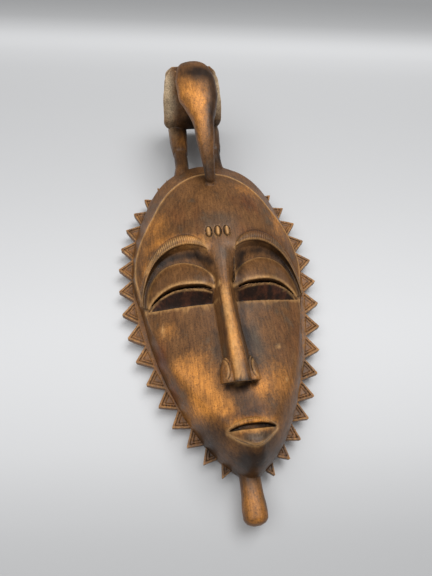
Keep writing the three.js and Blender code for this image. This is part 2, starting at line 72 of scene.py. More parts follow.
# Smooth values between stations; the first entry of each station is where it stands
def flow(stations, at):
    table = np.array(sorted(stations), float)
    place, values = table[:, 0], table[:, 1:]
    gap = np.diff(place)[:, None]
    slope = np.diff(values, axis=0) / gap
    tangent = np.zeros_like(values)
    tangent[0], tangent[-1] = slope[0], slope[-1]
    before, after = slope[:-1], slope[1:]
    same = before * after > 0
    tangent[1:-1][same] = (2 * before * after)[same] / (before + after)[same]
    at = np.clip(np.asarray(at, float), place[0], place[-1])
    i = np.clip(np.searchsorted(place, at) - 1, 0, len(place) - 2)
    t = ((at - place[i]) / gap[i, 0])[:, None]
    h = gap[i]
    result = (2 * t ** 3 - 3 * t ** 2 + 1) * values[i] + (t ** 3 - 2 * t ** 2 + t) * h * tangent[i]
    result += (3 * t ** 2 - 2 * t ** 3) * values[i + 1] + (t ** 3 - t ** 2) * h * tangent[i + 1]
    return result.T


# How far along a line each of its points lies
def runsOf(points):
    return np.concatenate([[0], np.cumsum(np.linalg.norm(np.diff(points, axis=0), axis=1))])


def treeOf(places):
    tree = KDTree(len(places))
    for i, place in enumerate(places):
        tree.insert(place[:3], i)
    tree.balance()
    return tree


def moveVerts(bm, places):
    for vert, place in zip(bm.verts, places):
        vert.co = place


def linked(name, data):
    made = bpy.data.objects.new(name, data)
    bpy.context.scene.collection.objects.link(made)
    return made


def bodyFrom(bm, name):
    bm.normal_update()
    bmesh.ops.recalc_face_normals(bm, faces=bm.faces)
    bmesh.ops.triangulate(bm, faces=bm.faces)
    mesh = bpy.data.meshes.new(name)
    bm.to_mesh(mesh)
    bm.free()
    return linked(name, mesh)


def vertsIn(geometry):
    return [item for item in geometry if isinstance(item, bmesh.types.BMVert)]


# A closed slab: a grid put on surface(u, v), thickened down to under(places)
def slab(name, across, along, surface, under):
    bm = bmesh.new()
    bmesh.ops.create_grid(bm, x_segments=across, y_segments=along, size=1)
    raised = bmesh.ops.extrude_face_region(bm, geom=bm.faces[:])["geom"]
    bmesh.ops.translate(bm, vec=(0, 0, 1), verts=vertsIn(raised))
    grid = np.array([v.co for v in bm.verts])
    places = surface((grid[:, 0] + 1) / 2, (grid[:, 1] + 1) / 2)
    low = grid[:, 2] < 0.5
    places[low] = under(places[low])
    moveVerts(bm, places)
    return bodyFrom(bm, name)


def flatAt(z):
    return lambda places: column(places[:, 0], places[:, 1], z)


def lowered(depth):
    return lambda places: places - np.array([0, 0, depth])


# A closed rod: a cylinder put on place(turn, along), with along from 0 to 1
def rod(name, around, rings, place):
    bm = bmesh.new()
    bmesh.ops.create_cone(
        bm, cap_ends=True, cap_tris=True, segments=around, radius1=1, radius2=1, depth=1,
    )
    lengthwise = [e for e in bm.edges if abs(e.verts[0].co.z - e.verts[1].co.z) > 0.5]
    bmesh.ops.subdivide_edges(bm, edges=lengthwise, cuts=rings - 2, use_grid_fill=True)
    grid = np.array([v.co for v in bm.verts])
    along = grid[:, 2] + 0.5
    places = place(np.arctan2(grid[:, 0], grid[:, 1]), along)
    centre = np.hypot(grid[:, 0], grid[:, 1]) < 0.5
    for end in (along < 0.001, along > 0.999):
        places[centre & end] = places[end & ~centre].mean(axis=0)
    moveVerts(bm, places)
    return bodyFrom(bm, name)


def power(value, exponent):
    return np.sign(value) * np.abs(value) ** exponent


def ball(name, columns, rows, size, centre):
    bm = bmesh.new()
    bmesh.ops.create_uvsphere(bm, u_segments=columns, v_segments=rows, radius=1)
    bmesh.ops.scale(bm, vec=size, verts=bm.verts)
    bmesh.ops.translate(bm, vec=centre, verts=bm.verts)
    return bodyFrom(bm, name)


def prismOf(bm, outline, low, high):
    face = bm.faces.new([bm.verts.new((p[0], p[1], low)) for p in outline])
    raised = bmesh.ops.extrude_face_region(bm, geom=[face])["geom"]
    bmesh.ops.translate(bm, vec=(0, 0, high - low), verts=vertsIn(raised))


def applied(body):
    graph = bpy.context.evaluated_depsgraph_get()
    graph.update()
    made = bpy.data.meshes.new_from_object(body.evaluated_get(graph), depsgraph=graph)
    body.modifiers.clear()
    old = body.data
    body.data = made
    bpy.data.meshes.remove(old)
    return body


def removed(*bodies):
    for body in bodies:
        mesh = body.data
        bpy.data.objects.remove(body)
        bpy.data.meshes.remove(mesh)


def carve(body, tool, operation):
    cut = body.modifiers.new("carve", "BOOLEAN")
    cut.operation = operation
    cut.solver = "MANIFOLD"
    cut.object = tool
    before = len(body.data.vertices)
    applied(body)
    print("  ", operation.lower(), tool.name, before, "->", len(body.data.vertices), "vertices")
    removed(tool)
    return body


# The egg of the border and the egg of the face

eggs = {
    "taper": 0.1, "square": 0.002,
    "tips": (84.0, 143.7, 11.9),  # half width, half height, middle y of the tooth tips
    "foot": (72.0, 138.0, 10.3),  # the same for the foot of the face
    "centre": np.array([0.0, 20.0]),
    "chinLean": 3.6,
    "jawPinch": 5.3,
}


def egg(turn, size):
    x = np.sin(turn) + eggs["taper"] * np.sin(2 * turn) + eggs["square"] * np.sin(3 * turn)
    return column(size[0] * x, size[2] + size[1] * np.cos(turn))


# The foot draws in along the jaw, so that the teeth there stand clear of the face
def footAt(turn):
    p = egg(turn, eggs["foot"])
    x, y = p[..., 0], p[..., 1]
    pinch = eggs["jawPinch"] * (1 - smooth(y, -5, 40)) * smooth(np.abs(x), 0, 18)
    return column(x - np.sign(x) * pinch, y)


def leanAt(y):
    return eggs["chinLean"] * smooth(-np.asarray(y, float), 0, 120)


# The face's front and sides

face = {
    "foreheadZ": 45.0, "foreheadTop": 55.0, "foreheadDrop": 15.0, "foreheadBend": 0.0071,
    "cheekZ": 28.0, "cheekTop": 5.0, "muzzleRise": 15.0, "cheekBend": 0.0042, "muzzleBend": 0.009,
    "rimBackZ": -13.0,
    "ridgeHeight": 0.75, "ridgeWidth": 1.0,
}


def foreheadZ(x, y):
    up = np.maximum(y - face["foreheadTop"], 0) / 71
    return face["foreheadZ"] - face["foreheadDrop"] * up ** 2 - face["foreheadBend"] * x ** 2


def cheekZ(x, y):
    down = np.maximum(face["cheekTop"] - y, 0) / 105
    bend = mix(face["cheekBend"], face["muzzleBend"], smooth(-y, 40, 100))
    return face["cheekZ"] + face["muzzleRise"] * down ** 1.6 - bend * x ** 2


def faceZ(x, y):
    return mix(cheekZ(x, y), foreheadZ(x, y), smooth(y, 12, 45))


# Where the front ends and the side begins, as a share of the way to the foot
def edgeShare(degrees):
    share = 0.83 + 0.13 * smooth(degrees, 45, 78) - 0.13 * smooth(degrees, 95, 130)
    return share + 0.03 * smooth(degrees, 155, 180)


# Rise of the side from foot to edge: straight at the temples, steep under the bird, round at the jaw
def sideRise(degrees, t):
    jaw = smooth(degrees, 85, 120)
    crown = 1 - smooth(degrees, 26, 64)
    rounded = np.sqrt(np.maximum(1 - (1 - t) ** 2, 0))
    block = 0.62 * smooth(t, -0.02, 0.16) + 0.38 * t
    return mix(mix(t, rounded, jaw), block, crown)


def ridgeLift(degrees, distance):
    fade = 1 - smooth(degrees, 92, 106)
    return face["ridgeHeight"] * fade * np.exp(-(distance / face["ridgeWidth"]) ** 2)


def faceBlock():
    def place(turn, along):
        half = np.abs(turn)
        degrees = np.degrees(half)
        foot = footAt(turn)
        edge = edgeShare(degrees)
        t = np.clip((along - 0.06) / 0.36, 0, 1)
        inside = np.clip((along - 0.42) / 0.58, 0, 1) ** 1.5
        share = np.where(along <= 0.42, mix(1, edge, t), edge * (1 - 0.98 * inside))
        share = np.where(along < 0.02, 0.985, share)
        at = lambda s: eggs["centre"] + (foot - eggs["centre"]) * s[:, None]
        p, line = at(share), at(edge)
        reach = np.linalg.norm(foot - eggs["centre"], axis=1)
        side = faceZ(line[:, 0], line[:, 1]) * sideRise(degrees, t)
        z = np.where(along <= 0.42, side, faceZ(p[:, 0], p[:, 1]))
        z = z + ridgeLift(degrees, (share - edge) * reach) * (along > 0.06)
        z = np.where(along < 0.055, mix(face["rimBackZ"], -1.0, along / 0.055), z)
        return column(p[:, 0] + leanAt(p[:, 1]), p[:, 1], z)
    return rod("faceBlock", 420, 101, place)


# Height of the finished block at any place inside its foot
def blockZ(x, y):
    x, y = np.broadcast_arrays(np.asarray(x, float), np.asarray(y, float))
    p = column(np.abs(x - leanAt(y)), y) - eggs["centre"]
    bearing = np.arctan2(p[..., 0], p[..., 1])
    low, high = np.zeros_like(bearing), np.full_like(bearing, math.pi)
    for _ in range(30):
        middle = (low + high) / 2
        foot = footAt(middle) - eggs["centre"]
        short = np.arctan2(foot[..., 0], foot[..., 1]) < bearing
        low, high = np.where(short, middle, low), np.where(short, high, middle)
    foot = footAt(low)
    share = np.linalg.norm(p, axis=-1) / np.linalg.norm(foot - eggs["centre"], axis=-1)
    edge = edgeShare(np.degrees(low))
    line = eggs["centre"] + (foot - eggs["centre"]) * edge[..., None]
    t = np.clip(1 - share, 0, None) / (1 - edge)
    side = faceZ(line[..., 0], line[..., 1]) * sideRise(np.degrees(low), np.clip(t, 0, 1))
    return np.where(share <= edge, faceZ(x, y), side)


# Eyes: a scooped surface from the cheek line over the half-round lid to the brow

eyes = {
    "browTop": [(13, 43.5), (22, 62), (62, 69), (67.5, 9)],
    "socketEdge": [(11, 38.5), (22, 50.5), (61.5, 59.5), (65.2, 7)],
    "lidArch": [(8, 14), (12, 36), (60, 55), (61.5, 6)],
    "slit": [(5, 8.2), (24, 13), (52, 20), (60.5, 4.6)],
    "cheekLine": [(5, -1.4), (24, -1), (44, 0.5), (61, 3)],
    "socketDepth": 6.5, "lidBulge": 12.0, "lidDome": 1.5, "lidEdge": 3.0, "lowerScoop": 2.0,
    "slitWidth": 2.2,
    "rows": (0.26, 0.6, 0.65, 0.93),  # where slit, arch, socket floor and brow wall stand
    "fineRows": (0.0, 0.13, 0.16, 0.19, 0.22),  # rows with small faces, for the lower lid's edges
}


def eyeCurve(name, u):
    return bezier(eyes[name], u)


def bulgeAt(u):
    inner = mix(0.4, 1, smooth(u, 0, 0.22))
    return eyes["lidBulge"] * inner * (1 - 0.85 * smooth(u, 0.45, 1))


def eyeSurface(side):
    slitRow, archRow, floorRow, wallRow = eyes["rows"]

    def surface(u, v):
        line, slit = eyeCurve("cheekLine", u), eyeCurve("slit", u)
        arch, edge = eyeCurve("lidArch", u), eyeCurve("socketEdge", u)
        lidZ = cheekZ(slit[:, 0], 4.0) + bulgeAt(u)
        scoopZ = cheekZ(line[:, 0], line[:, 1]) - eyes["lowerScoop"]
        browZ = foreheadZ(edge[:, 0], edge[:, 1])
        archZ = mix(browZ, cheekZ(arch[:, 0], 4.0), 0.45)
        opening = np.sin(np.pi * np.minimum(u * 0.9 + 0.1, 1))
        floorZ = archZ - eyes["lidEdge"] * opening
        deepZ = browZ - eyes["socketDepth"] * (0.35 + 0.65 * opening)
        lower = np.clip(v / slitRow, 0, 1)
        lid = np.clip((v - slitRow) / (archRow - slitRow), 0, 1)
        step = np.clip((v - archRow) / (floorRow - archRow), 0, 1)
        socket = np.clip((v - floorRow) / (wallRow - floorRow), 0, 1)
        wall = np.clip((v - wallRow) / (1 - wallRow), 0, 1)
        p = mix(line, slit, lower[:, None])
        p = mix(p, arch, lid[:, None])
        outward = 0.08 * step + 0.8 * socket + 0.12 * wall
        p = mix(p, edge, outward[:, None])
        z = mix(scoopZ, lidZ, lower) - 0.9 * opening * np.sin(np.pi * lower)
        dome = eyes["lidDome"] * opening * np.sin(np.pi * lid)
        z = np.where(v > slitRow, mix(lidZ, archZ, lid) + dome, z)
        z = np.where(v > archRow, mix(archZ, floorZ, step), z)
        z = np.where(v > floorRow, mix(floorZ, deepZ, socket ** 1.6), z)
        z = np.where(v > wallRow, mix(deepZ, browZ - 0.6, wall), z)
        return column(side * p[:, 0], p[:, 1], z)
    return surface


def carveEyes(body):
    for side, name in sides:
        surface = eyeSurface(side)
        carve(body, slab("lid" + name, 110, 100, surface, flatAt(2)), "UNION")
        carve(body, slab("overLid" + name, 110, 100, surface, flatAt(90)), "DIFFERENCE")
    for side, name in sides:
        def gap(u, v):
            p = eyeCurve("slit", mix(0.09, 0.975, u))
            width = eyes["slitWidth"] * np.sqrt(np.sin(np.pi * mix(0.06, 0.94, u)))
            return column(side * p[:, 0], p[:, 1] - 0.4 - width * v, 60)
        carve(body, slab("slit" + name, 60, 4, gap, flatAt(-20)), "DIFFERENCE")
    return body


brows = {"swell": 2.6, "sunk": 0.25}


def browSurface(side):
    def surface(u, v):
        k = mix(-0.06, 1.02, v)
        p = mix(eyeCurve("browTop", u), eyeCurve("socketEdge", u), k[:, None])
        swell = brows["swell"] * np.sin(np.pi * mix(0.1, 0.97, u)) ** 0.6
        lift = 0.2 + 0.8 * np.sin(np.pi * mix(0.02, 0.98, v)) ** 0.6
        z = foreheadZ(p[:, 0], p[:, 1]) + swell * lift - brows["sunk"]
        return column(side * p[:, 0], p[:, 1], z)
    return surface


def addBrows(body):
    for side, name in sides:
        carve(body, slab("brow" + name, 120, 16, browSurface(side), lowered(9)), "UNION")
    return body


# Nose: a long bar with flat flanks, cut off flat below, a crescent nostril on each side

nose = {
    "stations": [  # y, half width at the foot, half width of the ridge, ridge z, foot z
        (49, 17, 8, 45, 42.5), (43, 19, 7.5, 45, 37.5), (34, 16.5, 6.4, 44.4, 33.5),
        (24, 13.4, 5, 43.6, 30.5), (12, 11, 4.3, 42.8, 27), (-4, 9.4, 4, 43, 26.4),
        (-24, 9.2, 4.3, 44.6, 28), (-46, 10, 4.8, 47, 30.8), (-70.5, 11, 5.4, 49, 34.5),
    ],
    "topX": -1.2, "tipX": 0.5, "tip": (-70.5, 49.0), "foot": (-67.0, 36.0), "base": 22.0,
    "shoulderDrop": 1.6, "crownDrop": 0.5, "crownShare": 0.62,
    "nostrilX": 8.6, "nostril": (5.2, 16.0, 9.0), "nostrilAt": (-65.0, 37.0),
}


def noseCut():
    (tipY, tipZ), (footY, footZ) = nose["tip"], nose["foot"]
    lean = (footY - tipY) / (tipZ - footZ)
    bm = bmesh.new()
    bmesh.ops.create_cube(bm, size=1)
    for vert in bm.verts:
        x, y, z = vert.co
        z = 65 if z > 0 else 15
        vert.co = (60 * x, tipY + lean * (tipZ - z) if y > 0 else -100, z)
    return bodyFrom(bm, "underNose")


def noseBody():
    def place(turn, along):
        y = mix(49, -74, along)
        foot, ridge, top, footZ = flow(nose["stations"], y)
        middle = mix(nose["topX"], nose["tipX"], smooth(-y, 0, 70))
        s = (turn / np.pi + 1) / 2
        knots = [0, 0.08, 0.16, 0.32, 0.4, 0.5, 0.6, 0.68, 0.84, 0.92, 1]
        base, shoulder, crown = nose["base"], top - nose["shoulderDrop"], top - nose["crownDrop"]
        inner = nose["crownShare"] * ridge
        acrossOf = column(0, -foot, -foot, -ridge, -inner, 0, inner, ridge, foot, foot, 0)
        zOf = column(base, base, footZ, shoulder, crown, top, crown, shoulder, footZ, base, base)
        i = np.clip(np.searchsorted(knots, s, side="right") - 1, 0, len(knots) - 2)
        knots = np.array(knots)
        t = (s - knots[i]) / (knots[i + 1] - knots[i])
        rows = np.arange(len(s))
        x = mix(acrossOf[rows, i], acrossOf[rows, i + 1], t)
        z = mix(zOf[rows, i], zOf[rows, i + 1], t)
        return column(middle + x, y, z)
    body = rod("nose", 100, 140, place)
    for side in (-1, 1):
        centre = (nose["tipX"] + side * nose["nostrilX"], *nose["nostrilAt"])
        carve(body, ball("nostril", 40, 30, nose["nostril"], centre), "UNION")
    return carve(body, noseCut(), "DIFFERENCE")


# Mouth: an arched upper lip, a dark gap and a shield-shaped lower lip

mouth = {
    "y": -100.2, "halfWidth": 18.0, "upperRise": 6.4, "lowerDrop": 12.0, "lipHeight": 4.0,
    "gapDepth": 3.0, "rimSink": 0.6,
}


def lipPlace(u, rise, lift):
    bow = 1 - np.abs(2 * u - 1) ** np.where(rise > 0, 2.2, 1.5)
    x = mix(-mouth["halfWidth"], mouth["halfWidth"], u) + leanAt(mouth["y"])
    y = mouth["y"] + rise * bow
    return column(x, y, blockZ(x, y) + lift)


def upperLip(u, v):
    u = mix(0.03, 0.97, u)
    bow = np.sin(np.pi * u)
    rise = mix(mouth["upperRise"] + 0.7, mouth["upperRise"] - 3.4, v)
    lift = mouth["lipHeight"] * bow * np.sin(np.pi * mix(0.02, 0.8, v)) ** 0.7
    return lipPlace(u, rise, lift - mouth["rimSink"] * (1 - smooth(v, 0, 0.2)))


def lowerLip(u, v):
    u = mix(0.03, 0.97, u)
    bow = np.sin(np.pi * u)
    rise = mix(-0.7, -mouth["lowerDrop"], v)
    shape = np.interp(v, [0, 0.08, 0.4, 0.66, 0.86, 0.93, 1], [0.3, 0.55, 0.6, 0.66, 0.94, 0.75, 0])
    return lipPlace(u, rise, mouth["lipHeight"] * bow * shape - mouth["rimSink"] * smooth(v, 0.93, 1))


def lipGap(u, v):
    u = mix(0.03, 0.97, u)
    return lipPlace(u, mix(mouth["upperRise"] - 3.2, -0.5, v), 10.0)


def carveMouth(body):
    carve(body, slab("lipGap", 80, 12, lipGap, lowered(10 + mouth["gapDepth"])), "DIFFERENCE")
    carve(body, slab("upperLip", 100, 24, upperLip, lowered(9)), "UNION")
    return carve(body, slab("lowerLip", 100, 36, lowerLip, lowered(9)), "UNION")


# Three small ovals above the nose, each standing in a cut ring

marks = {"y": 54.4, "x": (-8.2, -0.8, 6.6), "halfWidth": 2.3, "halfHeight": 4.9}


def ovalRod(name, x, rings):
    def place(turn, along):
        grow, z = flow([(i / (len(rings) - 1), *ring) for i, ring in enumerate(rings)], along)
        wide, tall = marks["halfWidth"] + grow, marks["halfHeight"] + grow
        return column(x + wide * np.sin(turn), marks["y"] + tall * np.cos(turn), z)
    return rod(name, 40, 12, place)


def carveMarks(body):
    for x in marks["x"]:
        z = float(foreheadZ(x, marks["y"]))
        carve(body, ovalRod("markRing", x, [(0.6, z - 1.4), (0.8, z + 0.8), (1, z + 3)]), "DIFFERENCE")
        seed = [(-0.2, z - 3), (-0.3, z - 0.2), (-0.9, z + 1), (-1.8, z + 1.5)]
        carve(body, ovalRod("markSeed", x, seed), "UNION")
    return body


# Toothed border

border = {
    "thickness": 5.5, "count": 18, "firstArc": 33.8, "lastArc": 344.9, "sideShift": 2.6, "depth": 12.0,
    "crownArcs": (25.5, 39.5), "crownExtra": 3.0,
    "grooveScale": 0.76, "lineScale": 0.64, "panelScale": 0.5,
    "grooveDepth": 1.1, "lineDepth": 0.35, "panelDepth": 0.95, "tipRound": 0.9,
}

arcTurns = np.linspace(0, math.pi, 1441)
arcPoints = egg(arcTurns, eggs["tips"])
arcLengths = runsOf(arcPoints)


def borderPoint(arc, side, depth):
    turn = np.interp(arc + side * border["sideShift"], arcLengths, arcTurns)
    ahead, behind = egg(turn + 0.01, eggs["tips"]), egg(turn - 0.01, eggs["tips"])
    along = (ahead - behind) / np.linalg.norm(ahead - behind)
    p = egg(turn, eggs["tips"]) + depth * np.array([along[1], -along[0]])
    return np.array([side * p[0] + float(leanAt(p[1])), p[1]])


# Teeth are widest at the cheeks and closer together near the crown and the chin; the two next
# to the bird's legs are closest
def toothArc(i):
    if 0 <= i < len(border["crownArcs"]):
        return border["crownArcs"][i]
    even = (i - 1) / (border["count"] - 2)
    widened = even - 0.018 * math.sin(2 * math.pi * even) + 0.015 * math.sin(math.pi * even)
    return mix(border["firstArc"], border["lastArc"], widened)


def valley(i, side):
    return borderPoint((toothArc(i) + toothArc(i + 1)) / 2, side, border["depth"])


def teethOf(side):
    teeth = []
    for i in range(border["count"]):
        extra = border["crownExtra"] if i == 1 else 0
        tip = borderPoint(toothArc(i), side, -extra)
        teeth.append((tip, valley(i - 1, side), valley(i, side)))
    return teeth


def borderPlate():
    right, left = teethOf(1), teethOf(-1)
    outline = [right[0][1]] + [p for tip, _, after in right for p in (tip, after)]
    outline += ([left[0][1]] + [p for tip, _, after in left for p in (tip, after)])[::-1]
    tips = [tuple(tip) for tip, _, _ in right + left]
    bm = bmesh.new()
    bm.faces.new([bm.verts.new((p[0], p[1], -border["thickness"])) for p in outline])
    corners = [v for v in bm.verts if min(math.dist((v.co.x, v.co.y), t) for t in tips) < 0.01]
    bmesh.ops.bevel(
        bm, geom=corners, offset=border["tipRound"], segments=3, profile=0.5, affect="VERTICES",
        material=-1,
    )
    raised = bmesh.ops.extrude_face_region(bm, geom=bm.faces[:])["geom"]
    bmesh.ops.translate(bm, vec=(0, 0, border["thickness"]), verts=vertsIn(raised))
    body = bodyFrom(bm, "border")

    def triangles(name, scale, low, high):
        bm = bmesh.new()
        for tooth in right + left:
            middle = (tooth[1] + tooth[2]) / 2
            prismOf(bm, [middle + scale * (p - middle) for p in tooth], low, high)
        return bodyFrom(bm, name)

    carve(body, triangles("grooves", border["grooveScale"], -border["grooveDepth"], 2), "DIFFERENCE")
    carve(body, triangles("lines", border["lineScale"], -3, -border["lineDepth"]), "UNION")
    return carve(body, triangles("panels", border["panelScale"], -border["panelDepth"], 2), "DIFFERENCE")


# Beard peg

beard = {
    "x": 1.6, "z": 2.0, "halfWidth": 8.0, "halfDepth": 8.4,
    "stations": [
        (-112, 0.98), (-126, 0.94), (-136, 0.96), (-147, 1.08), (-152, 1.06), (-155.4, 0.8), (-157, 0.3),
    ],
}


def beardPeg():
    def place(turn, along):
        y = mix(-112, -157, along)
        (k,) = flow(beard["stations"], y)
        x = beard["x"] + beard["halfWidth"] * k * power(np.sin(turn), 0.85)
        return column(x, y, beard["z"] + beard["halfDepth"] * k * power(np.cos(turn), 0.85))
    return rod("beardPeg", 64, 60, place)


# Bird: body with flat wing panels, two legs, and a head that runs out into the beak

bird = {
    "x": -5.0,
    "body": [  # z, half width, lowest y, highest y
        (-3, 9, 219, 223.5), (3, 16, 213, 224.5), (12, 22, 203.5, 225), (22, 25, 193, 225),
        (30, 25, 193.5, 225), (38, 24.5, 197.5, 225), (48, 23, 206, 225), (58, 20.5, 213.5, 224.8),
        (65, 16, 218, 223.5),
    ],
    "wing": [  # y, z round the panel
        (223, 67.5), (217, 60), (206, 46), (198, 35), (195, 29), (196, 20), (204, 11), (213, 5),
        (219, 3), (223, 9), (225, 24), (225, 45), (225, 60), (224.7, 65.5),
    ],
    "wingX": -6.0, "wingHalfSpan": 25.2,
    "wingRings": [  # place through the panel, size, way out
        (0, 0.94, -10), (0.25, 1, -7), (0.65, 1, 0.6), (0.85, 0.98, 1.8), (1, 0.92, 2.6),
    ],
    "head": [  # y, x, z, half width, half height
        (222, -5.2, 62, 10, 5.5), (217, -5.1, 66.5, 14.2, 8.6), (207, -4.8, 68.5, 16.4, 10.2),
        (196, -4.1, 68, 17.7, 10.8), (183, -3.5, 66.5, 17.4, 10.5), (174, -2.3, 65.2, 14.6, 9.8),
        (167, -1.6, 64, 12.4, 9.2), (157, -1.4, 62, 9.3, 8.4), (143, -1.2, 57, 8, 7.4),
        (132.5, -0.8, 51.5, 6.3, 6.2), (123, 0.1, 45, 5.1, 5), (113.5, 0.5, 38.5, 4, 4),
        (110.5, 0.8, 36, 2.4, 2.4),
    ],
    "legX": 15.5, "legZ": 14.0, "legHalf": 7.5,
    "leg": [  # y, outward, width share, depth share
        (130, -2.5, 1.1, 1), (140, -2, 1.02, 1.1), (149, -1.4, 0.84, 0.95), (165.6, 0.3, 0.82, 0.92),
        (167, 0.3, 0.94, 1.02), (184, 0.4, 1.14, 1.1), (208, 0.4, 1.22, 1),
    ],
    "footSpread": {-1: 3.5, 1: 3.6},
    "pad": (0.8, 110.6), "padSize": (4.8, 3.2, 2.6),
}


def birdBody():
    def place(turn, along):
        z = mix(-3, 65, along)
        halfWidth, low, high = flow(bird["body"], z)
        x = bird["x"] + halfWidth * power(np.sin(turn), 0.62)
        return column(x, (low + high) / 2 + (high - low) / 2 * power(np.cos(turn), 0.62), z)
    return rod("birdBody", 120, 80, place)


def wing(side, name):
    outline = np.array(bird["wing"] + bird["wing"][:1], float)
    steps = runsOf(outline)

    def place(turn, along):
        s = (turn / (2 * np.pi)) % 1 * steps[-1]
        y, z = np.interp(s, steps, outline[:, 0]), np.interp(s, steps, outline[:, 1])
        taper = 4 * smooth(y, 200, 228) + 5 * smooth(z, 60, 68) + 12 * (1 - smooth(z, -2, 26))
        grow, out = flow(bird["wingRings"], along)
        x = bird["wingX"] + side * (bird["wingHalfSpan"] - taper + out)
        return column(x, mix(212, y, grow), mix(35, z, grow))
    return rod("wing" + name, 160, 25, place)


def birdHead():
    def place(turn, along):
        y = mix(222, 110.5, along)
        x, z, halfWidth, halfHeight = flow(bird["head"], y)
        step = 0.5
        slope = (flow(bird["head"], y + step)[1] - flow(bird["head"], y - step)[1]) / (2 * step)
        across, up = halfWidth * power(np.sin(turn), 0.85), halfHeight * power(np.cos(turn), 0.85)
        length = np.hypot(1, slope)
        return column(x + across, y - up * slope / length, z + up / length)
    return rod("birdHead", 96, 160, place)


def birdLeg(side, name):
    def place(turn, along):
        y = mix(130, 208, along)
        out, wide, deep = flow(bird["leg"], y)
        outward = bird["legX"] + out + bird["footSpread"][side] * (1 - smooth(y, 130, 168))
        x = bird["x"] + side * outward + bird["legHalf"] * wide * power(np.sin(turn), 0.8)
        return column(x, y, bird["legZ"] + bird["legHalf"] * deep * power(np.cos(turn), 0.8))
    return rod("leg" + name, 56, 100, place)


def beakPad():
    x, y = bird["pad"]
    return ball("beakPad", 32, 20, bird["padSize"], (x, y, float(foreheadZ(0.0, y))))


# Hollow behind the face

hollow = {"wall": 11.0, "profile": [  # z, share of the egg
    (-15, 0.97), (-4, 0.97), (5, 0.9), (12, 0.78), (16.5, 0.62), (19, 0.4),
]}


def hollowTool():
    halfWidth, halfHeight, middleY = eggs["foot"]
    size = (halfWidth - hollow["wall"], halfHeight - hollow["wall"] - 4, middleY)

    def place(turn, along):
        z = mix(-15, 19, along)
        (share,) = flow(hollow["profile"], z)
        p = egg(turn, size)
        return column(p[:, 0] * share, middleY + (p[:, 1] - middleY) * share, z)
    return rod("hollow", 120, 50, place)


# The carving put together

def joined(bodies, name):
    bm = bmesh.new()
    for body in bodies:
        bm.from_mesh(body.data)
    removed(*bodies)
    whole = bodyFrom(bm, name)
    print("joined", len(whole.data.vertices), "vertices")
    return whole


def carvedMask():
    block = faceBlock()
    carveEyes(block)
    addBrows(block)
    carveMarks(block)
    carveMouth(block)
    carve(block, hollowTool(), "DIFFERENCE")
    plate = carve(borderPlate(), hollowTool(), "DIFFERENCE")
    parts = [block, plate, noseBody(), beardPeg(), birdBody(), birdHead(), beakPad()]
    for side, name in sides:
        parts += [wing(side, name), birdLeg(side, name)]
    return joined(parts, "carvedMask")


surface = {"voxel": 0.42, "settle": 1, "triangles": 181500}


def vectorsOf(items, name):
    values = np.empty(len(items) * 3, np.float32)
    items.foreach_get(name, values)
    return values.reshape(-1, 3).astype(float)


def coordinates(mesh):
    return vectorsOf(mesh.vertices, "co")


def setCoordinates(mesh, co):
    mesh.vertices.foreach_set("co", co.astype(np.float32).ravel())
    mesh.update()


def normalsOf(mesh):
    return vectorsOf(mesh.vertex_normals, "vector")


def smoothed(body, rounds, factor=0.5):
    ease = body.modifiers.new("ease", "SMOOTH")
    ease.iterations = rounds
    ease.factor = factor
    graph = bpy.context.evaluated_depsgraph_get()
    graph.update()
    made = body.evaluated_get(graph).to_mesh()
    co = coordinates(made)
    body.evaluated_get(graph).to_mesh_clear()
    body.modifiers.clear()
    return co


def remeshed(body):
    grid = body.modifiers.new("grid", "REMESH")
    grid.mode = "VOXEL"
    grid.voxel_size = surface["voxel"]
    grid.use_smooth_shade = True
    applied(body)
    setCoordinates(body.data, smoothed(body, surface["settle"]))
    print("remeshed", len(body.data.vertices), "vertices")
    return body


def bendOf(body, rounds):
    co = coordinates(body.data)
    return np.einsum("ij,ij->i", co - smoothed(body, rounds), normalsOf(body.data))


# Even random values on a lattice, blended between its points: from -1 to 1
def lumps(co, size, seed):
    table = np.random.RandomState(seed).uniform(-1, 1, (32, 32, 32))
    p = co / np.asarray(size, float) + 100.5
    cell = np.floor(p).astype(int)
    t = p - cell
    t = t * t * (3 - 2 * t)
    total = 0
    for dx in (0, 1):
        for dy in (0, 1):
            for dz in (0, 1):
                share = abs(1 - dx - t[:, 0]) * abs(1 - dy - t[:, 1]) * abs(1 - dz - t[:, 2])
                corner = (cell + (dx, dy, dz)) % 32
                total = total + share * table[corner[:, 0], corner[:, 1], corner[:, 2]]
    return total


# Soft patches: each has its centre and its reach along x and y, or along x, y and z, and its strength
def patches(co, spots):
    total = np.zeros(len(co))
    for *spot, strength in spots:
        size = len(spot) // 2
        far = sum(((co[:, k] - spot[k]) / spot[k + size]) ** 2 for k in range(size))
        total += strength * np.exp(-far)
    return np.clip(total, 0, 1)


# Knife marks, cut lines and rounded edges

relief = {
    "wave": 0.16, "waveSize": (7, 13, 7),
    "facet": 0.3, "facetSize": (4.5, 6.5, 4.5),
    "chip": 0.35, "chipSize": (2.6, 2.6, 2.6),
    "lineWidth": 0.8, "lineDepth": 0.55,
    "nostrilCrease": [(9.8, -66.5), (6.2, -64), (6.2, -56), (9.8, -51.5)], "creaseWidth": 0.6,
    "creaseDepth": 0.75,
}


def farFrom(p, points):
    best = np.full(len(p), 1e9)
    for a, b in zip(points[:-1], points[1:]):
        run = b - a
        t = np.clip(((p - a) @ run) / (run @ run), 0, 1)
        best = np.minimum(best, np.linalg.norm(p - a - t[:, None] * run, axis=1))
    return best


# The vertices of a line's surroundings and how strongly each lies on the line
def onLine(co, points, width, allowed):
    points = np.asarray(points, float)
    low, high = points.min(axis=0) - 3, points.max(axis=0) + 3
    near = allowed & (co[:, :2] > low).all(axis=1) & (co[:, :2] < high).all(axis=1)
    spot = np.where(near)[0]
    return spot, np.exp(-(farFrom(co[spot, :2], points) / width) ** 2)


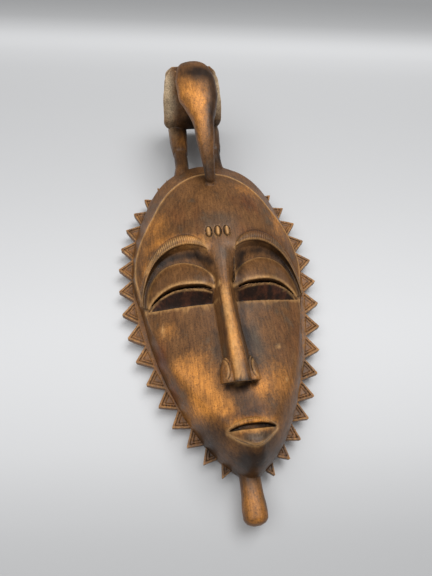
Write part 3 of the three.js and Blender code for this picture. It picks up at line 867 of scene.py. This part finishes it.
def cutLine(co, normals, points, width, depth):
    spot, share = onLine(co, points, width, (normals[:, 2] > 0.25) & (co[:, 2] > 8))
    co[spot] -= normals[spot] * (depth * share)[:, None]


def addRelief(body):
    co, normals = coordinates(body.data), normalsOf(body.data)
    sharp = smooth(bendOf(body, 8), 0.03, 0.25)
    onBird = smooth(co[:, 1], 128, 150)
    co += normals * (relief["wave"] * lumps(co, relief["waveSize"], 3))[:, None]
    co += normals * (relief["facet"] * onBird * lumps(co, relief["facetSize"], 5))[:, None]
    chips = np.clip(lumps(co, relief["chipSize"], 8) - 0.15, 0, 1)
    co -= normals * (relief["chip"] * chips * sharp * (co[:, 2] > -6))[:, None]
    t = np.linspace(0, 1, 40)
    for side in (-1, 1):
        brow = eyeCurve("browTop", t) * np.array([side, 1])
        outward = np.array([side * 0.35, 0.9])
        cutLine(co, normals, brow + outward, relief["lineWidth"], relief["lineDepth"])
        crease = bezier(relief["nostrilCrease"], t) * np.array([side, 1]) + np.array([nose["tipX"], 0])
        cutLine(co, normals, crease, relief["creaseWidth"], relief["creaseDepth"])
    setCoordinates(body.data, co)
    print("relief cut")


def decimated(body):
    faces = len(body.data.polygons) * 2
    thin = body.modifiers.new("thin", "DECIMATE")
    thin.ratio = surface["triangles"] / faces
    applied(body)
    print("thinned to", len(body.data.polygons), "faces")


# Fine slanting cuts across the brows and along the upper lip
hatch = {
    "pitch": 1.7, "depth": 0.26, "lipPitch": 1.5, "lipDepth": 0.2, "edge": 0.75, "reach": 1.1,
    "halfSpan": 68, "eyeRows": (-4, 66), "lipRows": (-103, -90), "lowest": 20,
}


def everyPair(us, vs):
    u, v = np.meshgrid(us, vs, indexing="ij")
    return u.ravel(), v.ravel()


def hatchPlaces():
    u, v = everyPair(np.linspace(0.03, 0.93, 500), np.linspace(0.08, 0.9, 12))
    middle = eyeCurve("browTop", np.linspace(0, 1, 400))
    along = np.interp(u, np.linspace(0, 1, 400), runsOf(middle)) / hatch["pitch"]
    fade = np.sin(np.pi * v) ** 0.5 * (1 - smooth(u, 0.6, 0.93)) * smooth(u, 0.03, 0.08)
    rows = []
    for side in (-1, 1):
        rows.append(np.column_stack([browSurface(side)(u, v), along, hatch["depth"] * fade]))
    u, v = everyPair(np.linspace(0.04, 0.96, 160), np.linspace(0.1, 0.9, 10))
    along = (u * 2 * mouth["halfWidth"] + 1.5 * v) / hatch["lipPitch"]
    rows.append(np.column_stack([upperLip(u, v), along, hatch["lipDepth"] * np.sin(np.pi * v)]))
    u, v = everyPair(np.linspace(0.1, 0.97, 120), eyes["fineRows"])
    for side in (-1, 1):
        place = eyeSurface(side)(u, v)
        rows.append(np.column_stack([place, np.zeros((len(place), 2))]))
    return np.vstack(rows)


def addHatch(body):
    places = hatchPlaces()
    tree = treeOf(places)
    bm = bmesh.new()
    bm.from_mesh(body.data)

    def inside(vert):
        x, y, z = vert.co
        inRows = any(low < y < high for low, high in (hatch["eyeRows"], hatch["lipRows"]))
        if not (inRows and abs(x) < hatch["halfSpan"] and z > hatch["lowest"]):
            return None
        _, i, far = tree.find(vert.co)
        return i if far < hatch["reach"] else None

    for _ in range(2):
        marked = {v for v in bm.verts if inside(v) is not None}
        edges = [e for e in bm.edges if e.verts[0] in marked and e.verts[1] in marked]
        edges = [e for e in edges if e.calc_length() > hatch["edge"]]
        bmesh.ops.subdivide_edges(bm, edges=edges, cuts=1)
        bmesh.ops.triangulate(bm, faces=[f for f in bm.faces if len(f.verts) > 3])
    bm.normal_update()
    groove = bm.verts.layers.float.new("groove")
    moves = []
    for vert in bm.verts:
        i = inside(vert)
        if i is not None:
            along, depth = places[i][3:]
            wave = math.cos(2 * math.pi * along)
            vert[groove] = (0.5 - 0.5 * wave) * depth / hatch["depth"]
            moves.append((vert, vert.normal * depth * (wave - 0.2)))
    for vert, move in moves:
        vert.co += move
    bm.to_mesh(body.data)
    bm.free()
    print("hatched", len(moves), "vertices, in all", len(body.data.polygons), "faces")


# What the surface has been through, with painted light among it: wear and a painted highlight on the
# nose ridge, grime and painted shade in the hollows, and the patches of the stain, some dark ones
# painted shade

stainAndShade = {  # x, y, reach along x, y, strength; or x, y, z, reach along x, y, z, strength
    "gold": [
        (-26, -62, 12, 20, 0.85), (-40, -50, 8, 10, 0.55), (-24, -79, 12, 8, 0.9), (-13, -85, 7, 5, 0.8),
        (27, -68, 13, 13, 0.6), (13, -73, 5, 6, 0.8), (-48, -17, 9, 8, 0.35),
        # The first two patches on this line, along the nose ridge, are partly gold wear, partly a
        # painted highlight
        (-2, -38, 47, 4.5, 26, 4, 1.0), (-1.5, -6, 43, 4, 16, 3, 0.8), (-12, 43, 42, 6, 6, 6, 0.45),
        (-45, 57, 13, 4, 0.6), (-24, 50, 9, 4, 0.7), (-60, 38, 5, 16, 0.45), (-50, 74, 11, 15, 0.5),
        (55, 76, 6, 18, 0.5), (32, 106, 12, 8, 0.4), (2, -96, 15, 3, 1.0), (4, -102, 13, 1.8, 0.5),
        (1, -146, 8, 11, 0.7), (-8, 178, 76, 10, 13, 12, 0.8), (-5, 164, 70, 7, 14, 9, 1.0),
        (-4, 148, 62, 4, 12, 8, 0.9), (-20, 176, 20, 8, 8, 8, 0.4), (-16, 192, 68, 6, 20, 8, 0.6),
    ],
    "dark": [
        # Dark patches: under the chin and along the jaw, partly dark stain, partly painted shade; under
        # and below the nose tip, above the right brow, in the eye sockets, beside the nose root and
        # under the bird's body, painted shade; on the crown and on the right of the head and beak, dark
        # stain
        (2, -120, 17, 11, 1.0), (-24, -103, 10, 11, 0.85), (26, -108, 10, 9, 0.5), (7, -88.5, 9, 3, 0.7),
        (1, -80, 6, 5, 0.6), (0, 118, 40, 7, 13, 9, 0.8), (-5, 201, 79, 16, 8, 7, 1.0),
        (10, 188, 70, 6, 28, 14, 0.8), (4.5, 158, 66, 4, 24, 12, 0.75), (34, 57, 10, 5, 0.35),
        (32, 48, 11, 4, 0.3), (-5, 192, 30, 20, 6, 16, 1.0), (-5, 200, 10, 20, 12, 12, 1.0),
        (-21, 154, 14, 10, 18, 12, 0.8), (14, 160, 14, 10, 30, 12, 1.0), (0.5, -70.5, 40, 13, 2, 9, 1.0),
        (9, 4, 38, 4, 26, 8, 0.5), (-42, 42, 15, 4, 0.5), (42, 38, 14, 5, 0.4), (14, 27, 4, 11, 0.9),
    ],
    "red": [
        (-54, -37, 6, 12, 0.8), (-46, -62, 5, 9, 0.7), (30, 88, 10, 12, 0.6), (45, -30, 14, 26, 0.3),
        (-30, 78, 16, 14, 0.25), (0, -90, 16, 6, 0.4), (38, 55, 20, 5, 0.5),
    ],
    "grey": [
        (17, -36, 7, 24, 0.75), (8, -34, 41, 4, 26, 5, 0.7), (2, 34, 44, 10, 12, 6, 0.45),
        (2, 66, 18, 10, 0.45), (4, -107, 11, 4, 0.85), (-12, -36, 3, 24, 0.35), (30, -4, 26, 5, 0.4),
    ],
    "beige": [
        (-29, 210, 45, 6, 26, 40, 1.0), (19, 212, 50, 4.5, 22, 32, 1.0),
    ],
}


teethGold = 0.2


# The strip between the cheek line and the slit, below the edge of the lid: it faces down, and its dark
# colour is partly dark stain, partly painted shade
def lowerLidShare(co):
    x = np.abs(co[:, 0])
    t = np.linspace(0, 1, 60)
    line, slit = eyeCurve("cheekLine", t), eyeCurve("slit", t)
    low, high = np.interp(x, line[:, 0], line[:, 1]), np.interp(x, slit[:, 0], slit[:, 1])
    inside = smooth(co[:, 1], low - 0.2, low + 0.6) * (1 - smooth(co[:, 1], high - 1.4, high - 0.6))
    return inside * smooth(x, 9, 12) * (x < 61) * (co[:, 2] > 10)


# Small pale nicks: x, y, length down the face, width
nicks = [
    (-51.6, -14, 4, 1.1), (-11.8, 48.2, 1.2, 1.2), (12.4, -88, 0.8, 0.7), (35, -67, 0.6, 0.7),
    (34, -41, 0.6, 0.6),
]


# Edges that hands have rubbed pale, and a painted highlight along the nose ridge: a curve in plan, its
# width and its strength
def rubbedAndHighlightLines():
    t = np.linspace(0, 1, 50)
    lines = []
    for side, fresh in ((-1, 1.0), (1, 0.75)):
        mirror = np.array([side, 1])
        crease = bezier(relief["nostrilCrease"], t) * mirror + (nose["tipX"] + 1.5 * side, 0)
        middle = mix(eyeCurve("browTop", t), eyeCurve("socketEdge", t), 0.5)[:40]
        lines += [
            (eyeCurve("slit", t) * mirror + (0, 1.0), 1.2, fresh),
            (eyeCurve("lidArch", t) * mirror, 0.8, 0.6 * fresh),
            (eyeCurve("socketEdge", t) * mirror + (0, 0.6), 0.8, 0.8 * fresh),
            (eyeCurve("cheekLine", t) * mirror - (0, 0.8), 0.8, 0.6 * fresh),
            (eyeCurve("slit", mix(0.1, 0.95, t)) * mirror - (0, 3.3), 0.55, 0.8 * fresh),
            (crease, 0.6, 0.4),
            (middle * mirror, 2.3, 0.85 if side < 0 else 0.15),
        ]
    turn = np.radians(np.linspace(-94, 94, 120))
    edge = edgeShare(np.degrees(np.abs(turn)))[:, None]
    lines.append((eggs["centre"] + (footAt(turn) - eggs["centre"]) * edge, 1.1, 0.65))
    # Along the nose ridge: partly rubbed wear, partly a painted highlight
    lines.append(([(-2.4, 2), (-2.2, -30), (-1.6, -66)], 2.6, 0.75))
    for x in marks["x"]:
        lines.append(([(x, marks["y"] - 2.8), (x, marks["y"] + 2.8)], 1.3, 1.0))
    lipRows = ((mouth["upperRise"] - 0.4, 0.8), (-1.4, 0.6), (0.6 - mouth["lowerDrop"], 0.8))
    for rise, strength in lipRows:
        lines.append((lipPlace(mix(0.03, 0.97, t), rise, 0)[:, :2], 0.8, strength))
    for x, y, run, width in nicks:
        lines.append(([(x, y), (x + 0.2 * run, y - run)], width, 1.0))
    return lines


# Lines of painted shade: under the brows, beside and under the nose, in the mouth gap
def paintedShadeLines():
    t = np.linspace(0, 1, 40)
    socket = mix(eyeCurve("lidArch", t), eyeCurve("socketEdge", t), 0.62)
    return [
        (socket * (-1, 1), 3.4, 0.9),
        (socket, 3.4, 0.9),
        ([(-13, 20), (-12, -20), (-12.5, -52)], 2.4, 0.4),
        ([(-11, -69.7), (12, -69.7)], 1.3, 1.0),
        (lipPlace(mix(0.08, 0.92, t), 1.3, 0)[:, :2], 1.5, 1.0),
        ([(17, 36), (12.5, 20), (10.5, -20), (12, -52)], 3.2, 0.85),
    ]


def lineShare(co, normals, lines):
    total = np.zeros(len(co))
    facing = (normals[:, 2] > 0.2) & (co[:, 2] > 6)
    facing &= (co[:, 1] < 95) | (co[:, 2] < foreheadZ(co[:, 0], co[:, 1]) + 4)
    for points, width, strength in lines:
        spot, share = onLine(co, points, width, facing)
        total[spot] = np.maximum(total[spot], strength * share)
    return total * (0.7 + 0.3 * smooth(lumps(co, (5, 5, 5), 11), -0.5, 0.2))


# Share of the sky that a place sees, from rays over its own half of it; "turn" is between two rays
sky = {"rays": 14, "turn": 2.4, "lift": 0.3, "reach": 45}


def opennessOf(body):
    tree = BVHTree.FromPolygons(
        [v.co.copy() for v in body.data.vertices], [tuple(p.vertices) for p in body.data.polygons],
    )
    rays = [(math.sqrt((i + 0.5) / sky["rays"]), sky["turn"] * i) for i in range(sky["rays"])]
    share = np.empty(len(body.data.vertices))
    for i, vert in enumerate(body.data.vertices):
        normal = vert.normal
        across = normal.orthogonal().normalized()
        along = normal.cross(across)
        start = vert.co + normal * sky["lift"]
        seen = 0
        for out, turn in rays:
            sideways = across * math.cos(turn) + along * math.sin(turn)
            ray = sideways * out + normal * math.sqrt(1 - out * out)
            if tree.ray_cast(start, ray, sky["reach"])[0] is None:
                seen += 1
        share[i] = seen / len(rays)
    return share


def paintValues(body, name, values):
    layer = body.data.attributes.new(name, "FLOAT", "POINT")
    layer.data.foreach_set("value", np.clip(values, 0, 1).astype(np.float32))


def paint(body, fine):
    co = coordinates(body.data)
    tree = treeOf(fine["co"])
    nearest = np.array([tree.find(place)[1] for place in co])
    edge, dip = fine["edge"][nearest], fine["dip"][nearest]
    openness = opennessOf(body)
    print("openness from", round(float(openness.min()), 2), "to", round(float(openness.max()), 2))
    normals = normalsOf(body.data)
    groove = np.empty(len(co), np.float32)
    body.data.attributes["groove"].data.foreach_get("value", groove)
    wearAndHighlight = np.maximum(smooth(edge, 0.03, 0.22), lineShare(co, normals, rubbedAndHighlightLines()))
    # Painted shade along these lines goes into the dark patches and dims the pale lines there
    paintedShadeShare = lineShare(co, normals, paintedShadeLines())
    paintValues(body, "wearAndHighlight", wearAndHighlight * (1 - 0.8 * groove) * (1 - 0.85 * paintedShadeShare))
    # Concave places and the bottoms of the hatch cuts are darkened: partly grime, partly painted shade
    paintValues(body, "grimeAndShade", np.maximum(smooth(dip, 0.02, 0.22), 0.75 * groove))
    paintValues(body, "shade", 1 - openness)
    onTeeth = (co[:, 2] < 0.6) & (co[:, 2] > -5.6)
    for name, spots in stainAndShade.items():
        share = patches(co, spots)
        if name == "gold":
            share = np.maximum(share, teethGold * onTeeth)
        if name == "dark":
            share = np.maximum(share, paintedShadeShare)
        paintValues(body, name, share)
    paintValues(body, "lowerLid", lowerLidShare(co))


def finishedMask():
    body = remeshed(carvedMask())
    addRelief(body)
    bend = bendOf(body, 10)
    fine = {"co": coordinates(body.data), "edge": bend, "dip": -bend}
    decimated(body)
    addHatch(body)
    paint(body, fine)
    body.data.transform(Matrix.Scale(metres, 4) @ Matrix.Translation(partShift))
    body.data.shade_smooth()
    return body


mask = finishedMask()
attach(mask, "root")
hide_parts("mask")


# Stained and waxed wood, with painted shade in its hollows and a painted highlight on the nose ridge

wood = {
    "base": (0.172, 0.078, 0.026, 1), "gold": (0.66, 0.27, 0.05, 1), "dark": (0.022, 0.01, 0.004, 1),
    "red": (0.15, 0.044, 0.012, 1), "grey": (0.1, 0.074, 0.05, 1), "beige": (0.64, 0.5, 0.33, 1),
    "lowerLid": (0.06, 0.019, 0.008, 1), "wearAndHighlight": (0.78, 0.43, 0.16, 1),
    # The grime colour is also the colour of the painted shade in hollows and creases
    "grimeAndShade": (0.007, 0.003, 0.0015, 1),
    "fibres": [(0.3, (0.5, 0.44, 0.4, 1)), (0.7, (1.45, 1.42, 1.35, 1))],
    "specular": 0.3,
}


# Two makers for the nodes of a material: any node by its inputs, and a colour ramp by its stops
def nodeMakers(material):
    nodes, links = material.node_tree.nodes, material.node_tree.links

    def node(kind, inputs, output, **settings):
        made = nodes.new("ShaderNode" + kind)
        for name, value in settings.items():
            setattr(made, name, value)
        for name, value in inputs.items():
            if isinstance(value, bpy.types.NodeSocket):
                links.new(value, made.inputs[name])
            else:
                made.inputs[name].default_value = value
        return made.outputs[output]

    def ramp(value, stops, interpolation="LINEAR"):
        made = nodes.new("ShaderNodeValToRGB")
        made.color_ramp.interpolation = interpolation
        elements = made.color_ramp.elements
        while len(elements) < len(stops):
            elements.new(1)
        for element, (where, tone) in zip(elements, stops):
            element.position = where
            element.color = tone
        links.new(value, made.inputs["Fac"])
        return made.outputs["Color"]

    return node, ramp


def woodMaterial():
    material = bpy.data.materials.new("carvedWood")
    material.use_nodes = True
    nodes, links = material.node_tree.nodes, material.node_tree.links
    node, ramp = nodeMakers(material)
    nodes.clear()
    output = nodes.new("ShaderNodeOutputMaterial")
    shader = nodes.new("ShaderNodeBsdfPrincipled")
    links.new(shader.outputs["BSDF"], output.inputs["Surface"])
    place = node("TexCoord", {}, "Object")

    def noise(scale, detail, stretch, roughness):
        at = node("Mapping", {"Vector": place, "Scale": [scale * k for k in stretch]}, "Vector")
        pattern = {"Vector": at, "Scale": 1, "Detail": detail, "Roughness": roughness}
        return node("TexNoise", pattern, "Fac")

    def spread(value, low, high, lowest=0.0, highest=1.0):
        ends = {"From Min": low, "From Max": high, "To Min": lowest, "To Max": highest}
        return node("MapRange", {"Value": value, **ends}, "Result")

    def painted(name):
        return node("Attribute", {}, "Fac", attribute_name=name)

    def math2(operation, a, b):
        return node("Math", {0: a, 1: b}, "Value", operation=operation, use_clamp=True)

    def blend(under, over, share, mode="MIX"):
        return node("Mix", {0: share, 6: under, 7: over}, 2, data_type="RGBA", blend_type=mode)

    grain = noise(700, 5, (1, 0.09, 1), 0.65)
    streaks = noise(160, 4, (1, 0.12, 1), 0.6)
    mottle = noise(75, 5, (1, 0.7, 1), 0.6)
    specks = noise(900, 3, (1, 1, 1), 0.7)
    rubbed = noise(420, 6, (1, 0.6, 1), 0.75)

    # A patch breaks up towards its edge, where its share and the noise balance each other
    def patchy(name, texture):
        share = math2("MULTIPLY", painted(name), 0.5)
        return spread(math2("ADD", share, math2("MULTIPLY", texture, 0.5)), 0.3, 0.7)

    colour = blend(wood["base"], wood["red"], patchy("red", streaks))
    for name, texture in (("grey", mottle), ("beige", mottle), ("gold", rubbed), ("dark", mottle)):
        colour = blend(colour, wood[name], patchy(name, texture))
    colour = blend(colour, wood["dark"], spread(mottle, 0.4, 0.7, 0, 0.5))
    # The lower lid's strip: partly dark stain, partly painted shade of a surface facing away from the
    # light
    colour = blend(colour, wood["lowerLid"], painted("lowerLid"))
    lidStreaks = math2("MULTIPLY", painted("lowerLid"), spread(streaks, 0.38, 0.56, 0, 0.85))
    colour = blend(colour, wood["grimeAndShade"], lidStreaks)
    colour = blend(colour, ramp(grain, wood["fibres"]), 0.8, "MULTIPLY")
    colour = blend(colour, wood["dark"], spread(specks, 0.48, 0.34, 0, 0.6))
    # Painted shade: places that see little of the sky, and concave places, darken towards the grime
    # colour
    deep = spread(painted("shade"), 0.25, 0.8, 0, 0.9)
    crevice = math2("ADD", math2("MULTIPLY", painted("grimeAndShade"), 0.8), deep)
    colour = blend(colour, wood["grimeAndShade"], crevice)
    # Pale rubbed edges, and the painted highlight along the nose ridge
    wornAndLitShare = math2("MULTIPLY", painted("wearAndHighlight"), spread(rubbed, 0.3, 0.6, 0.35, 1))
    colour = blend(colour, wood["wearAndHighlight"], math2("MULTIPLY", wornAndLitShare, 0.85))
    colour = blend(colour, wood["wearAndHighlight"], spread(specks, 0.7, 0.76, 0, 0.55))
    links.new(colour, shader.inputs["Base Color"])

    links.new(spread(rubbed, 0.25, 0.75, 0.32, 0.55), shader.inputs["Roughness"])
    shader.inputs["Specular IOR Level"].default_value = wood["specular"]
    rough = node("Bump", {"Strength": 0.35, "Distance": 0.0003, "Height": grain}, "Normal")
    pits = {"Strength": 0.3, "Distance": 0.0005, "Height": rubbed, "Normal": rough}
    links.new(node("Bump", pits, "Normal"), shader.inputs["Normal"])
    return material


mask.data.materials.clear()
mask.data.materials.append(woodMaterial())
print("wood stained and waxed")


# Table, light and camera

studio = {
    "floorHalf": 3.0, "tilt": 0.09, "near": -0.25, "far": 0.45,
    # The floor's light and shade are painted as tones: darker at the near end, brightest around the
    # mask's middle, dimmer behind it, a lighter band further back and darker beyond it
    "paintedFloorLight": [  # place along the table in metres, brightness
        (-0.216, 0.41), (-0.184, 0.45), (-0.138, 0.57), (-0.06, 0.63), (0.0, 0.6), (0.096, 0.53),
        (0.206, 0.48), (0.285, 0.49), (0.318, 0.55), (0.338, 0.6), (0.358, 0.52), (0.385, 0.34),
        (0.43, 0.26),
    ],
    "world": (0.96, 0.96, 0.95, 1), "worldStrength": 0.25,
    "key": {"place": (0.5, 0.35, 1.5), "size": 0.9, "power": 17},
    "fill": {"place": (-0.55, -0.1, 1.45), "size": 1.3, "power": 14},
}


def tableTop():
    bm = bmesh.new()
    bmesh.ops.create_grid(bm, x_segments=1, y_segments=1, size=studio["floorHalf"])
    mesh = bpy.data.meshes.new("tableTop")
    bm.to_mesh(mesh)
    bm.free()
    top = linked("tableTop", mesh)
    paper = bpy.data.materials.new("palePaper")
    paper.use_nodes = True
    node, ramp = nodeMakers(paper)
    shader = paper.node_tree.nodes["Principled BSDF"]
    shader.inputs["Roughness"].default_value = 0.6
    # Painted light and shade on the floor: its tone runs along the table, tilted a little across it
    across = {0: node("TexCoord", {}, "Object"), 1: (studio["tilt"], 1, 0)}
    tilted = node("VectorMath", across, "Value", operation="DOT_PRODUCT")
    near, far = studio["near"], studio["far"]
    along = node("MapRange", {"Value": tilted, "From Min": near, "From Max": far}, "Result")
    stops = [
        ((where - near) / (far - near), (tone, tone * 1.01, tone * 1.03, 1))
        for where, tone in studio["paintedFloorLight"]
    ]
    paper.node_tree.links.new(ramp(along, stops, "B_SPLINE"), shader.inputs["Base Color"])
    mesh.materials.append(paper)


def softLight(name, values):
    lamp = bpy.data.lights.new(name, "AREA")
    lamp.shape = "SQUARE"
    lamp.size = values["size"]
    lamp.energy = values["power"]
    light = linked(name, lamp)
    light.location = values["place"]
    light.rotation_euler = (-light.location).to_track_quat("-Z", "Y").to_euler()


def surroundings():
    world = bpy.data.worlds.new("paleRoom")
    world.use_nodes = True
    background = world.node_tree.nodes["Background"]
    background.inputs["Color"].default_value = studio["world"]
    background.inputs["Strength"].default_value = studio["worldStrength"]
    bpy.context.scene.world = world


# The camera that took the photograph: 432 x 576, its long side 36 mm
camera = {
    "place": (-0.047544, -0.188033, 0.36142), "lens": 28.776,
    "right": (0.99023, -0.12492, 0.06192), "up": (0.08202, 0.88108, 0.46580),
}


def photoCamera():
    data = bpy.data.cameras.new("photoCamera")
    data.lens = camera["lens"]
    data.sensor_width = 36
    data.clip_start = 0.01
    shot = linked("photoCamera", data)
    right = Vector(camera["right"]).normalized()
    back = right.cross(Vector(camera["up"])).normalized()
    up = back.cross(right)
    turn = Matrix((right, up, back)).transposed().to_4x4()
    shot.matrix_world = Matrix.Translation(camera["place"]) @ turn
    bpy.context.scene.camera = shot


tableTop()
softLight("keyLight", studio["key"])
softLight("fillLight", studio["fill"])
surroundings()
photoCamera()
bpy.context.scene.view_settings.view_transform = "Standard"
bpy.context.view_layer.update()
print("scene ready")
